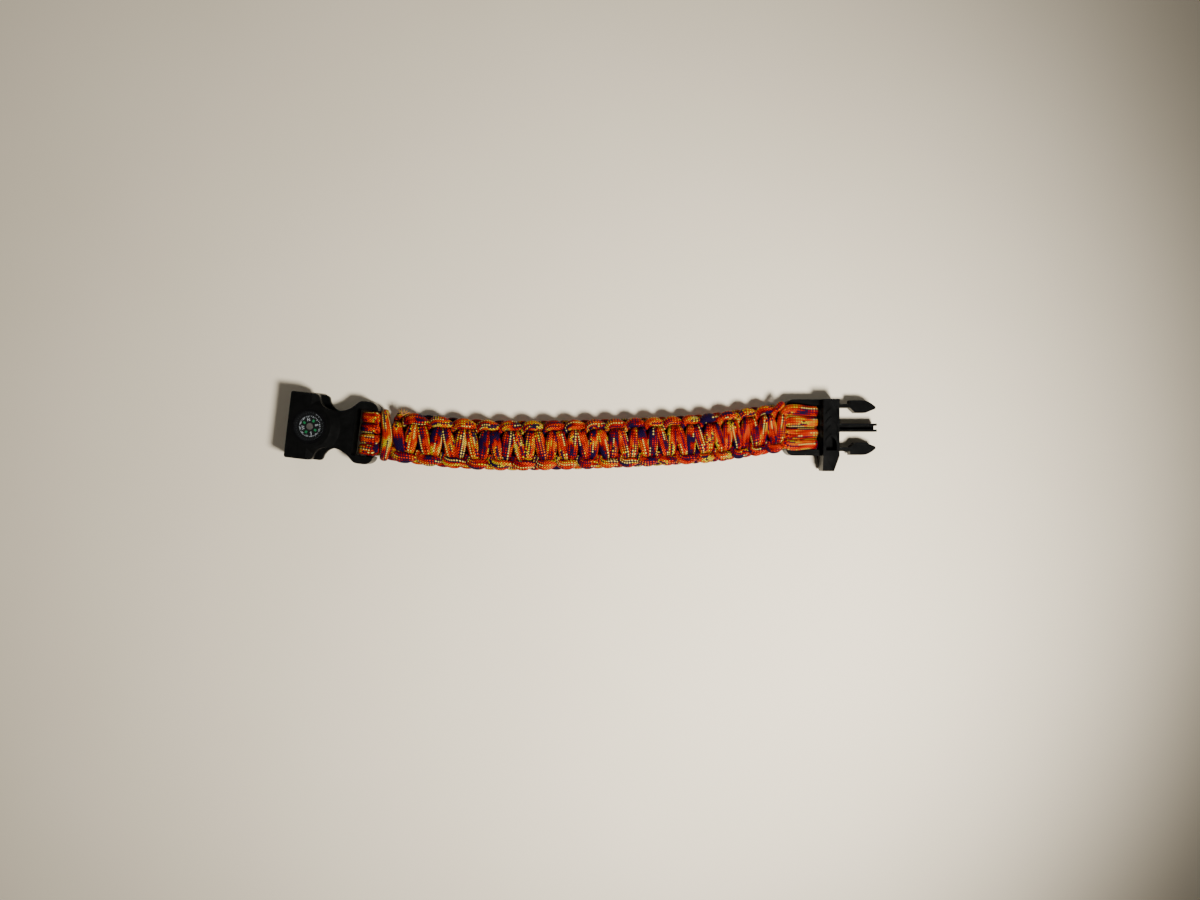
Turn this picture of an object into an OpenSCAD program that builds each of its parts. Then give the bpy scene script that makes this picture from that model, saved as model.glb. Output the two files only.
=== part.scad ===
// Paracord bracelet: a cobra weave of cord between the two halves of a side-release buckle.
// It lies open on its underside at z = 0, with the socket half and its compass at -X
// and the plug half with its whistle at +X. All sizes are in millimetres.

/* [Band] */
// Length of the band along its curve, from bar to bar of the two buckle halves
band_l = 167.5; // [130:0.5:220]
// Full width of the weave
weave_w = 19.2; // [18:0.1:22]
// Full thickness of the weave
weave_t = 11; // [10.5:0.1:13]
// Spacing of the half-knots at the socket half
pitch_start = 5.1; // [4.8:0.05:5.6]
// Spacing of the half-knots in the middle of the band
pitch_middle = 3.95; // [3.8:0.05:4.8]
// Spacing of the half-knots at the plug half
pitch_end = 3.5; // [3.4:0.05:4.8]
// Width of the working cord where it lies across the band at the socket half
cord_w = 3.8; // [2.5:0.1:3.8]
// Thickness of the working cord where it lies across the band
cord_t = 2.5; // [1.8:0.05:2.55]
// Gap between cords that lie against each other
cord_gap = 0.1; // [0.05:0.01:0.2]

/* [Core cord] */
// Number of times the core cord is wound from bar to bar
core_loops = 4; // [3:1:5]
// Width of the core cord where it passes over a bar
core_w = 4.2; // [3:0.1:4.4]
// Thickness of the core cord where it passes over a bar
core_t = 2.9; // [2:0.1:3.1]
// Length of slack in the core cord's loops beyond the plug half's bar
core_slack_l = 5; // [1:0.5:5.4]

/* [Socket half] */
// Width of the socket half at its mouth
socket_w = 26.3; // [25:0.1:32]
// Length of the straight sides and notches, from the mouth to the narrowest place of the neck
neck_x = 18.1; // [18:0.1:19]
// Width of the neck between the two thumb notches
neck_w = 15; // [13:0.1:16]
// Length from the neck's narrowest place to the cord slot
neck_l = 7.3; // [7:0.1:10]
// Thickness of the bottom plate
plate_t = 1.7; // [1.2:0.1:2]
// Height of the lower deck at the neck
neck_h = 8; // [7.6:0.1:8.4]
// Height of the raised deck that carries the compass
socket_h = 10.8; // [10.6:0.1:12]
// Width of the bar that holds the cords
socket_bar_w = 2.8; // [2:0.1:3.2]
// Height of the bars of both halves
bar_h = 2.8; // [2.2:0.1:3]
// Length of the cord slot behind the neck
socket_slot_l = 6; // [5.6:0.1:6.4]
// Room beside the cords in the socket half's slot
socket_slot_room = 0.8; // [0.2:0.1:1.5]
// Width of the socket half's rails beside its slot
socket_rail_w = 3.1; // [2.4:0.1:3.6]
// How far the top of the socket is cut back beyond its bottom plate at the notches
notch_step = 2; // [0.5:0.1:2.4]

/* [Plug half] */
// Height of the plug half's frame
plug_h = 7.5; // [7.2:0.1:9]
// Width of the plug half's rails beside its slot
plug_rail_w = 2.4; // [2:0.1:3]
// Room beside the cords in the plug half's slot
plug_slot_room = 0.25; // [0.15:0.05:0.6]
// Width of the bar that holds the cords
plug_bar_w = 5.2; // [3:0.1:6]
// Length of the cord slot between the bar and the whistle
plug_slot_l = 8.8; // [8.8:0.1:12]
// Radius of the round corners at the end of the plug half's frame
plug_corner_r = 3; // [1:0.1:4]
// Width of the whistle block along the band
whistle_w = 6.4; // [6:0.1:8]
// Height of the whistle block
whistle_h = 11; // [10:0.1:12]
// Length of the mouthpiece that stands out of the frame
mouthpiece_l = 6.1; // [4:0.1:8]
// Width of the whistle's chamber and window
chamber_w = 4.1; // [3:0.1:4.2]
// Length of the sounding window
window_l = 5.7; // [4:0.1:6.5]
// Width over the two prong arms
prong_w = 18.8; // [18:0.1:20]
// Height of the prongs and the guide
prong_h = 4.4; // [4:0.1:4.6]
// Length of the prong arms before the barbs
arm_l = 5.4; // [5:0.1:6]
// Thickness of the prong arms
arm_t = 1.5; // [1:0.1:2]
// Length of the barbed heads
barb_l = 10.2; // [10:0.1:11]
// Width of the barbed heads
barb_w = 5; // [4:0.1:5.2]
// How far a barb stands out beyond its arm
barb_step = 1.5; // [0.8:0.1:1.6]
// Width of the middle guide
guide_w = 3.3; // [2.8:0.1:3.6]
// How far the guide reaches beyond the barbed heads
guide_extra = 0.5; // [0:0.1:0.8]
// Clearance between the prongs and the cavity they slide into
prong_clearance = 0.2; // [0.1:0.05:0.3]

/* [Compass] */
// Radius of the compass capsule
capsule_r = 6.8; // [6.4:0.1:7]
// Height of the compass capsule
capsule_h = 3.2; // [3.1:0.1:3.3]
// Distance from the mouth to the middle of the compass
compass_x = 8.4; // [8:0.1:8.8]
// Radius of the round boss that carries the compass
boss_r = 8.6; // [8:0.1:9.4]
// Wall of the capsule around the lens
capsule_wall = 0.8; // [0.6:0.1:1]
// Width of the fixed ring between the card and the lens seat
ring_w = 1.15; // [1:0.05:1.3]
// Radius of the pivot pin that the card turns on
pivot_r = 0.4; // [0.3:0.05:0.6]
// Radial clearance between the pivot pin and the card's hub
pivot_clearance = 0.05; // [0.03:0.01:0.08]
// Gap between the card and the ring around it
card_gap = 0.3; // [0.2:0.05:0.4]

/* [Hidden] */

// Overlap that lets a cut run past a face
eps = 0.01;
// Sides of the round bodies
round_fn = 72;
mid_z = weave_t / 2;

// Widths of the two frames follow the cords that pass through them
cords_w = core_loops * core_w + (core_loops - 1) * cord_gap;
socket_slot_w = cords_w + 2 * socket_slot_room;
plug_slot_w = cords_w + 2 * plug_slot_room;
socket_frame_w = socket_slot_w + 2 * socket_rail_w;
plug_w = plug_slot_w + 2 * plug_rail_w;

// Lengths along each half: the socket half from its mouth, the plug half from its bar
socket_slot_x = neck_x + neck_l;
socket_l = socket_slot_x + socket_slot_l + socket_bar_w;
socket_bar_x = socket_l - socket_bar_w / 2;
block_x = plug_bar_w / 2 + plug_slot_l;
prong_x = block_x + whistle_w;
barb_x = prong_x + arm_l;
barb_end_x = barb_x + barb_l;
guide_end_x = barb_end_x + guide_extra;

// The cavity takes the prongs, which stop a little before its end
tip_room = 0.7;
catch_play = 0.3;
cavity_z = plate_t;
cavity_h = prong_h + 2 * prong_clearance;
cavity_w = prong_w + 2 * prong_clearance;
cavity_l = guide_end_x - prong_x + tip_room;
catch_l = arm_l - catch_play;
prong_z = cavity_z + prong_clearance;

// How the band lies: heading in degrees at shares of the band's length
SHARE = 0;
HEADING = 1;
bend = [
    [0.00, -6.8],
    [0.12, -6.8],
    [0.36, 0.3],
    [0.50, 1.8],
    [0.75, 3.4],
    [0.86, 9],
    [0.95, 8],
    [1.00, 0],
];

// Step along a stretch whose heading goes evenly from one angle to another
function arc_step(len, from, to) =
    abs(to - from) < 0.01
        ? len * [cos(from), sin(from)]
        : len / ((to - from) * PI / 180) * [sin(to) - sin(from), cos(from) - cos(to)];

// Place on the band's curve at each row of the bend table
function bend_place(row) =
    row == 0
        ? [0, 0]
        : bend_place(row - 1) + arc_step(
            band_l * (bend[row][SHARE] - bend[row - 1][SHARE]),
            bend[row - 1][HEADING], bend[row][HEADING]);
bend_places = [for (row = [0:len(bend) - 1]) bend_place(row)];

// Row of the bend table that holds a place along the band
function bend_row(s, row = 0) =
    row >= len(bend) - 2 || s < band_l * bend[row + 1][SHARE] ? row : bend_row(s, row + 1);

// Heading at a place along the band, straight on past both ends
function heading(s) = lookup(s / band_l, bend);
function curve(s) =
    s <= 0 ? s * [cos(heading(0)), sin(heading(0))]
    : s >= band_l ? bend_places[len(bend) - 1] + (s - band_l) * [cos(heading(s)), sin(heading(s))]
    : let (row = bend_row(s))
        bend_places[row] + arc_step(s - band_l * bend[row][SHARE], bend[row][HEADING], heading(s));

// The origin is under the middle of the box that the whole bracelet fills
lo_x = -socket_bar_x * cos(heading(0)) + socket_w / 2 * sin(heading(0));
hi_x = curve(band_l)[0] + guide_end_x;
hi_y = -socket_bar_x * sin(heading(0)) + socket_w / 2 * cos(heading(0));
lo_y = curve(band_l)[1] - plug_w / 2 - mouthpiece_l;
origin = [(lo_x + hi_x) / 2, (lo_y + hi_y) / 2];

// How far the weave leans over, in degrees at shares of the band's length
lean = [
    [0.00, 0],
    [0.08, -7],
    [0.20, -6],
    [0.32, -2.5],
    [0.62, -2],
    [0.75, -4.5],
    [0.81, -2],
    [0.87, 6],
    [0.94, 6],
    [1.00, 0],
];

// Point of the model for a point given along and across the band and above its middle
function lay(p) =
    let (s = p[0] + p[1] * tan(lookup(p[0] / band_l, lean)), c = curve(s), h = heading(s))
        [c[0] - p[1] * sin(h) - origin[0], c[1] + p[1] * cos(h) - origin[1], p[2] + mid_z];

module at_socket() {
    translate([-origin[0], -origin[1], 0])
        rotate(heading(0))
            translate([-socket_bar_x, 0, 0]) children();
}

module at_plug() {
    translate([curve(band_l)[0] - origin[0], curve(band_l)[1] - origin[1], 0])
        rotate(heading(band_l)) children();
}

// Outlines: points of an arc, and an upper side joined to its mirror image
function arc(centre, r, from, to, steps = 8) =
    [for (i = [0:steps]) let (a = from + (to - from) * i / steps) centre + r * [cos(a), sin(a)]];
function both_sides(points) =
    concat(points, [for (i = [len(points) - 1:-1:0]) [points[i][0], -points[i][1]]]);

// Bar across a slot, with rounded edges
bar_edge_r = 0.8;
module rounded_bar(w, l) {
    h = bar_h;
    r = bar_edge_r;
    outline = concat(
        arc([w / 2 - r, h / 2 - r], r, 0, 90, 4), arc([r - w / 2, h / 2 - r], r, 90, 180, 4),
        arc([r - w / 2, r - h / 2], r, 180, 270, 4), arc([w / 2 - r, r - h / 2], r, 270, 360, 4));
    translate([0, l / 2, mid_z]) rotate([90, 0, 0]) linear_extrude(l) polygon(outline);
}

// Socket half
mouth_r = 0.8;
side_r = 1.5;
notch_r = 5.5;
flare_r = 9;
flare_turn = 45;
frame_r = 3.5;

// Upper side of the socket half, with its thumb notch cut back by a step towards the mouth
function socket_side(step) =
    let (
        notch = [neck_x - step, neck_w / 2 + notch_r],
        rise = notch[1] - (socket_w / 2 - side_r),
        turn = asin(rise / (side_r + notch_r)),
        side = [notch[0] - (side_r + notch_r) * cos(turn), socket_w / 2 - side_r],
        flare = [neck_x, neck_w / 2 + flare_r],
        flare_end = flare + flare_r * [sin(flare_turn), -cos(flare_turn)],
        shoulder_y = socket_frame_w / 2 - frame_r,
        shoulder_start_y = shoulder_y + frame_r * cos(flare_turn),
        shoulder_start_x = flare_end[0] + (shoulder_start_y - flare_end[1]) / tan(flare_turn),
        shoulder = [shoulder_start_x + frame_r * sin(flare_turn), shoulder_y]
    )
    concat(
        arc([mouth_r, socket_w / 2 - mouth_r], mouth_r, 180, 90, 3),
        arc(side, side_r, 90, turn, 5),
        arc(notch, notch_r, 180 + turn, 270, 10),
        arc(flare, flare_r, 270, 270 + flare_turn, 8),
        arc(shoulder, frame_r, 90 + flare_turn, 90, 5),
        arc([socket_l - frame_r, socket_frame_w / 2 - frame_r], frame_r, 90, 0, 8));

// The raised deck and its round boss end in a slope down to the lower deck
deck_l = 8.4;
deck_slope = 3;
module socket_deck() {
    h = socket_h - neck_h + eps;
    translate([0, 0, neck_h - eps]) intersection() {
        linear_extrude(h) polygon(both_sides(socket_side(notch_step)));
        union() {
            translate([0, socket_w, 0]) rotate([90, 0, 0]) linear_extrude(2 * socket_w)
                polygon([[0, 0], [deck_l + deck_slope, 0], [deck_l, h], [0, h]]);
            translate([compass_x, 0, 0])
                cylinder(h = h, r1 = boss_r + deck_slope, r2 = boss_r, $fn = round_fn);
        }
    }
}

seat_z = socket_h - capsule_h;
seat_gap = 0.05;
module socket_body() {
    color("#161618") at_socket() {
        difference() {
            union() {
                linear_extrude(plate_t + eps) polygon(both_sides(socket_side(0)));
                translate([0, 0, plate_t])
                    linear_extrude(neck_h - plate_t) polygon(both_sides(socket_side(notch_step)));
                socket_deck();
            }
            // Prong cavity, open at the mouth, and its side windows behind the catch walls
            translate([-eps, -cavity_w / 2, cavity_z]) cube([cavity_l + eps, cavity_w, cavity_h]);
            translate([catch_l, -socket_w, cavity_z])
                cube([cavity_l - catch_l, 2 * socket_w, cavity_h]);
            // Cord slot, and the room above and below its bar
            translate([socket_slot_x, -socket_slot_w / 2, -eps])
                cube([socket_l, socket_slot_w, neck_h + 2 * eps]);
            translate([compass_x, 0, seat_z])
                cylinder(h = capsule_h + eps, r = capsule_r + seat_gap, $fn = round_fn);
        }
        translate([socket_bar_x, 0, 0]) rounded_bar(socket_bar_w, socket_slot_w + 2 * eps);
    }
}

// Compass: a cup with a fixed ring and a pivot pin, a card turning on the pin, and a lens
floor_t = 0.6;
card_t = 0.4;
card_z = 1.35;
hub_r = 1.4;
hub_z = 1;
hub_h = 1.1;
pin_h = 1.8;
pin_tip_gap = 0.05;
ring_top_z = 1.9;
lens_z = 2.45;
lens_t = 0.7;
lens_crown = 0.3;
lens_bevel = 1.2;
lens_gap = 0.03;
lens_r = capsule_r - capsule_wall;
ring_r = lens_r - ring_w;
card_r = ring_r - card_gap;
lens_ledge = 0.4;

module at_compass() {
    at_socket() translate([compass_x, 0, seat_z]) children();
}

module compass_housing() {
    color("#101012") at_compass() {
        rotate_extrude($fn = round_fn) polygon([
            [0, 0], [capsule_r, 0], [capsule_r, capsule_h], [lens_r, capsule_h],
            [lens_r, lens_z], [lens_r - lens_ledge, lens_z], [lens_r - lens_ledge, ring_top_z],
            [ring_r, ring_top_z], [ring_r, floor_t], [0, floor_t],
        ]);
        translate([0, 0, floor_t - eps])
            cylinder(h = pin_h - floor_t + eps, r = pivot_r, $fn = round_fn);
    }
}

module compass_card() {
    color("#15181a") at_compass() difference() {
        union() {
            translate([0, 0, card_z]) cylinder(h = card_t, r = card_r, $fn = round_fn);
            translate([0, 0, hub_z]) cylinder(h = hub_h, r = hub_r, $fn = round_fn);
        }
        translate([0, 0, hub_z - eps])
            cylinder(h = pin_h + pin_tip_gap - hub_z + eps, r = pivot_r + pivot_clearance,
                $fn = round_fn);
    }
}

module compass_lens() {
    r = lens_r - lens_gap;
    color("lightcyan", 0.3) at_compass() translate([0, 0, lens_z + lens_gap]) {
        cylinder(h = lens_t, r = r, $fn = round_fn);
        translate([0, 0, lens_t])
            cylinder(h = lens_crown, r1 = r, r2 = r - lens_bevel, $fn = round_fn);
    }
}

// Plug half
root_r = 1.2;
tip_r = 0.7;
tip_turn = 60;
edge_steps = 8;
barb_lead = 2.1;
channel_share = 0.45;
channel_depth = 2.4;
nose_l = 0.6;
// Shares of a barbed head's length and width: end of its straight outer edge, end of its
// straight inner edge, and how far inward its tip lies
outer_share = 0.47;
inner_share = 0.6;
tip_share = 0.58;

module plug_frame() {
    outline = both_sides(concat(
        arc([plug_corner_r - plug_bar_w / 2, plug_w / 2 - plug_corner_r], plug_corner_r, 180, 90, 6),
        [[prong_x - eps, plug_w / 2]]));
    difference() {
        linear_extrude(plug_h) polygon(outline);
        translate([-plug_bar_w, -plug_slot_w / 2, -eps])
            cube([plug_bar_w + block_x, plug_slot_w, plug_h + 2 * eps]);
    }
    rounded_bar(plug_bar_w, plug_slot_w + 2 * eps);
}

// Whistle: a block with a tapered mouthpiece, a chamber, an airway and a sounding window
mouth_in = [0.3, 1.6];
mouth_drop = 2.2;
wall_t = 1.8;
chamber_z = 2.2;
airway_h = 1.3;
airway_inset = 0.2;
airway_top_z = 8.2;
window_y = 3.4;
// The scale pattern: rows of pointed arches between narrow ribs
scale_depth = 0.5;
scale_rows = 4;
scale_pitch = 3.4;
scale_rib = 0.8;
scale_extra_w = 1;

module whistle_solid() {
    lip_y = -plug_w / 2 - mouthpiece_l;
    plan = [
        [block_x, plug_w / 2], [prong_x, plug_w / 2], [prong_x, -plug_w / 2],
        [prong_x - mouth_in[1], lip_y], [block_x + mouth_in[0], lip_y], [block_x, -plug_w / 2],
    ];
    side = [
        [-plug_w / 2, 0], [plug_w / 2, 0], [plug_w / 2, whistle_h], [-plug_w / 2, whistle_h],
        [lip_y, whistle_h - mouth_drop], [lip_y, mouth_drop],
    ];
    intersection() {
        linear_extrude(whistle_h) polygon(plan);
        translate([block_x - eps, 0, 0]) rotate([90, 0, 90])
            linear_extrude(whistle_w + 2 * eps) polygon(side);
    }
}

// Pointed arch that is w wide and l long, with its point at the place given
module pointed_arch(w, l) {
    spring = -w * sin(60);
    polygon(concat(
        arc([-w / 2, spring], w, 0, 60), arc([w / 2, spring], w, 120, 180),
        [[-w / 2, -l], [w / 2, -l]]));
}

module plug_whistle() {
    mid_x = block_x + whistle_w / 2;
    window_end_y = -window_y - window_l;
    scale_w = chamber_w + scale_extra_w;
    difference() {
        whistle_solid();
        // Resonance chamber
        translate([mid_x - chamber_w / 2, window_end_y, chamber_z])
            cube([chamber_w, plug_w / 2 - wall_t - window_end_y, airway_top_z - chamber_z]);
        // Airway from the mouthpiece
        translate([mid_x - chamber_w / 2 + airway_inset, -plug_w, airway_top_z - airway_h])
            cube([chamber_w - 2 * airway_inset, plug_w + window_end_y + eps, airway_h]);
        // Sounding window
        translate([mid_x, -window_y, airway_top_z - eps]) linear_extrude(whistle_h)
            pointed_arch(chamber_w, window_l);
        // Scale pattern: each arch is left standing in the next one
        for (row = [1:scale_rows])
            translate([mid_x, row * scale_pitch - window_y, whistle_h - scale_depth])
                linear_extrude(scale_depth + eps) difference() {
                    pointed_arch(scale_w, scale_w);
                    translate([0, scale_rib - scale_pitch]) pointed_arch(scale_w, 2 * scale_w);
                }
    }
}

// Upper prong: a springy arm and a barbed head with a round tip
module prong() {
    arm_out = prong_w / 2;
    barb_out = arm_out + barb_step;
    barb_in = barb_out - barb_w;
    flat_x = barb_x + barb_l * outer_share;
    tip = [barb_end_x - tip_r, barb_out - barb_w * tip_share];
    // The outer edge curves from its straight part to the tip's round end
    reach = tip + tip_r * [cos(tip_turn), sin(tip_turn)];
    run = reach[0] - flat_x;
    drop = barb_out - reach[1];
    outer = [for (i = [0:edge_steps])
        let (t = i / edge_steps) [flat_x + run * t, barb_out - drop * pow(t, 2)]];
    outline = concat(
        [[prong_x - eps, arm_out], [barb_x, arm_out], [barb_x, barb_out]],
        outer,
        arc(tip, tip_r, tip_turn, -tip_turn, 6),
        [
            [barb_x + barb_l * inner_share, barb_in], [barb_x + barb_lead, barb_in],
            [barb_x, arm_out - arm_t], [prong_x - eps, arm_out - arm_t],
        ]);
    translate([0, 0, prong_z]) linear_extrude(prong_h) polygon(outline);
}

module guide() {
    channel_w = guide_w * channel_share;
    translate([0, 0, prong_z]) difference() {
        union() {
            translate([prong_x - eps, -guide_w / 2, 0])
                cube([guide_end_x - prong_x, guide_w, prong_h]);
            translate([prong_x - eps, -guide_w / 2 - root_r, 0])
                cube([root_r, guide_w + 2 * root_r, prong_h]);
        }
        for (side = [-1, 1]) translate([prong_x + root_r, side * (guide_w / 2 + root_r), -eps])
            cylinder(h = prong_h + 2 * eps, r = root_r, $fn = round_fn);
        translate([prong_x, -channel_w / 2, prong_h - channel_depth])
            cube([guide_end_x, channel_w, prong_h]);
        translate([guide_end_x - nose_l, -channel_w / 2, -eps])
            cube([guide_end_x, channel_w, prong_h]);
    }
}

module plug_body() {
    color("#161618") at_plug() {
        plug_frame();
        plug_whistle();
        prong();
        mirror([0, 1, 0]) prong();
        guide();
    }
}

// Tube through rings: each has its centre, width, thickness and the direction of its thickness
CENTRE = 0;
RING_W = 1;
RING_T = 2;
RING_UP = 3;
function unit(v) = v / norm(v);
function ring_points(ring, tangent, sides) =
    let (
        up = unit(ring[RING_UP] - (ring[RING_UP] * tangent) * tangent),
        across = cross(tangent, up)
    )
    [for (i = [0:sides - 1])
        let (a = 360 * i / sides)
            lay(ring[CENTRE] + across * cos(a) * ring[RING_W] / 2
                + up * sin(a) * ring[RING_T] / 2 / sin(360 / sides))];

// A level tube's sections stay square to the band, so that tubes side by side keep their gap
module tube(rings, closed = false, level = false, sides = 6) {
    count = len(rings);
    points = [for (i = [0:count - 1])
        let (
            before = rings[closed ? (i + count - 1) % count : max(i - 1, 0)][CENTRE],
            after = rings[closed ? (i + 1) % count : min(i + 1, count - 1)][CENTRE]
        )
        let (way = after - before)
        each ring_points(rings[i], unit(level ? [way[0], 0, way[2]] : way), sides)];
    spans = closed ? count : count - 1;
    walls = [for (i = [0:spans - 1], j = [0:sides - 1])
        let (
            a = i * sides + j,
            b = i * sides + (j + 1) % sides,
            c = ((i + 1) % count) * sides + (j + 1) % sides,
            d = ((i + 1) % count) * sides + j
        )
        each [[a, c, b], [a, d, c]]];
    caps = closed ? [] : [
        [for (j = [0:sides - 1]) j],
        [for (j = [sides - 1:-1:0]) (count - 1) * sides + j],
    ];
    polyhedron(points, concat(walls, caps), convexity = 10);
}

// The weave: arms of the working cord, counted along the band
first_arm_s = 10.8;
last_arm_room = 2.5;
weave_span = band_l - plug_bar_w / 2 - last_arm_room - first_arm_s;
mean_pitch = (pitch_start + 4 * pitch_middle + pitch_end) / 6;
arms = round(weave_span / mean_pitch);
pitch_fit = weave_span / (arms * mean_pitch);

// Place of an arm: the pitch follows one smooth curve through its three sizes
wrap_pitch = 4.2;
function arm_s(k) =
    let (t = k / arms, t2 = t * t, t3 = t * t * t)
    first_arm_s + (
        k < 0 ? k * wrap_pitch
        : pitch_fit * arms * (
            pitch_start * (t - 3 / 2 * t2 + 2 / 3 * t3)
            + pitch_middle * (2 * t2 - 4 / 3 * t3)
            + pitch_end * (2 / 3 * t3 - t2 / 2)));
function pitch_at(k) = arm_s(k + 0.5) - arm_s(k - 0.5);

// One half-knot of a strand, from the middle of one arm to the middle of the next:
// places as shares of the pitch, of half the weave's width and of half its thickness,
// then the cord's width and thickness there as shares of its own
ALONG = 0;
ACROSS = 1;
UP = 2;
WIDTH = 3;
THICKNESS = 4;
half_knot = [
    [0.00, 0.00, 0.73, 1.00, 0.90],
    [-0.16, 0.40, 0.73, 0.92, 1.00],
    [-0.24, 0.48, 0.33, 0.78, 1.00],
    [-0.44, 0.49, -0.26, 0.78, 0.94],
    [-0.40, 0.68, -0.46, 0.88, 0.92],
    [0.05, 0.80, -0.63, 1.00, 1.00],
    [0.70, 0.79, -0.60, 1.00, 1.00],
    [1.10, 0.73, -0.24, 0.86, 1.00],
    [1.20, 0.55, 0.34, 0.78, 0.98],
    [1.16, 0.39, 0.74, 0.94, 1.00],
];
// Its rows from the middle of the arm to the edge, from the far side of the edge to the next
// arm, and the last two of these
to_edge = [0:3];
from_edge = [5:9];
last_rise = [8:9];

// Ends of the working cord, in the same columns: the front strand starts under the band,
// wraps it once close to the socket half and ends tucked into the lower edge,
// and the back strand starts and ends in cut tips that stand out of the upper edge
front_start = [
    [0.40, 0.50, -0.74, 0.80, 0.80],
    [0.38, 0.86, -0.44, 0.80, 0.90],
    [0.42, 0.96, 0.05, 0.80, 0.95],
    [0.55, 0.80, 0.55, 0.85, 0.95],
    [0.80, 0.45, 0.74, 0.95, 1.00],
];
first_turn = [
    [0.00, 0.00, 0.76, 1.00, 1.00],
    [-0.08, 0.45, 0.74, 0.95, 1.00],
    [-0.25, 0.80, 0.52, 0.85, 1.00],
    [-0.42, 0.95, 0.05, 0.80, 0.95],
    [-0.42, 0.86, -0.44, 0.85, 0.93],
];
back_start = [
    [1.25, 0.94, -0.50, 0.60, 0.75],
    [1.08, 0.94, -0.30, 0.75, 0.85],
    [0.95, 0.86, 0.00, 0.80, 0.95],
];
back_end = [
    [-0.60, 0.74, -0.42, 0.85, 0.90],
    [-0.25, 0.82, -0.60, 0.80, 0.85],
    [0.05, 0.94, -0.67, 0.75, 0.80],
    [0.40, 1.06, -0.69, 0.60, 0.75],
];

// Direction out of the band at a point of its section
roundness = 2.2;
function outward(p) = [0, p[1] / pow(weave_w, roundness), p[2] / pow(weave_t, roundness)];

// Rings for rows of a table, for one half-knot of the strand on the front (1) or back (-1)
function knot_rings(table, k, face, rows) =
    [for (i = rows)
        let (
            row = table[i],
            side = (k % 2 == 0 ? 1 : -1) * face,
            s = arm_s(k + row[ALONG]),
            p = [s, side * row[ACROSS] * weave_w / 2, face * row[UP] * mid_z],
            narrowing = min(1, pitch_at(k) / pitch_start)
        )
        [p, row[WIDTH] * cord_w * narrowing, row[THICKNESS] * cord_t, outward(p)]];
function knots(from, to, face) =
    [for (k = [from:to]) each knot_rings(half_knot, k, face, [0:len(half_knot) - 1])];

module weave_cord_front() {
    color("orangered") tube(concat(
        knot_rings(front_start, -2, 1, [0:len(front_start) - 1]),
        knot_rings(first_turn, -1, 1, [0:len(first_turn) - 1]),
        knot_rings(half_knot, -1, 1, from_edge),
        knots(0, arms - 1, 1),
        knot_rings(half_knot, arms, 1, to_edge)));
}

module weave_cord_back() {
    color("darkorange") tube(concat(
        knot_rings(back_start, -1, -1, [0:len(back_start) - 1]),
        knot_rings(half_knot, -1, -1, last_rise),
        knots(0, arms - 1, -1),
        knot_rings(half_knot, arms, -1, to_edge),
        knot_rings(back_end, arms, -1, [0:len(back_end) - 1])));
}

// The core cord: loops around both bars, squeezed by the weave in between
bend_steps = 6;
run_rings = 9;
bar_gap = 0.2;
socket_bend_r = 3;
plug_bend_r = 2.3;
// How far the loop's straight part reaches over the socket half's bar
bar_reach = 0.5;
run_z = bar_h / 2 + core_t / 2 + bar_gap;
tight_t = half_knot[1][UP] * mid_z - cord_t / 2 - 2 * cord_gap;
// Share of the weave's width that the squeezed core fills
tight_share = 0.33;
tight_w = tight_share * weave_w / core_loops - cord_gap;
tight_z = (tight_t + cord_gap) / 2;
// The squeeze begins this share of a pitch before the first wrap
squeeze_lead = 0.8;
tight_start = arm_s(-1) - squeeze_lead * wrap_pitch;
tight_end = arm_s(arms) + last_arm_room / 2;

function core_ring(i, s, z, full, up) =
    let (
        place = i - (core_loops + 1) / 2,
        w = full ? core_w : tight_w,
        t = full ? core_t : tight_t
    )
    [[s, place * (w + cord_gap), z], w, t, up];

// Half turn around a bar, or the slack loop beyond it
function core_bend(i, s, r, from) =
    [for (n = [0:bend_steps])
        let (a = from + 180 * n / bend_steps)
            core_ring(i, s + r * cos(a), run_z * sin(a), true, [cos(a) * run_z, 0, sin(a) * r])];

function core_run(i, face) =
    [
        core_ring(i, socket_bar_w / 2, face * run_z, true, [0, 0, face]),
        for (n = [0:run_rings - 1])
            core_ring(i, tight_start + (tight_end - tight_start) * n / (run_rings - 1),
                face * tight_z, false, [0, 0, face]),
        core_ring(i, band_l - plug_bar_w / 2, face * run_z, true, [0, 0, face]),
    ];
function reversed(list) = [for (i = [len(list) - 1:-1:0]) list[i]];

module core_cord(i) {
    socket_bend_s = bar_reach - socket_bar_w / 2;
    plug_bend_s = band_l + plug_bar_w / 2 + core_slack_l - plug_bend_r + core_t / 2;
    color("tomato") tube(concat(
        core_run(i, 1),
        reversed(core_bend(i, plug_bend_s, plug_bend_r, -90)),
        reversed(core_run(i, -1)),
        reversed(core_bend(i, socket_bend_s, socket_bend_r, 90))), closed = true, level = true);
}

socket_body();
compass_housing();
compass_card();
compass_lens();
plug_body();
for (i = [1:core_loops])
    core_cord(i);
weave_cord_front();
weave_cord_back();
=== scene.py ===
import math

import bpy
import numpy as np
from mathutils import Matrix, Vector


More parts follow.
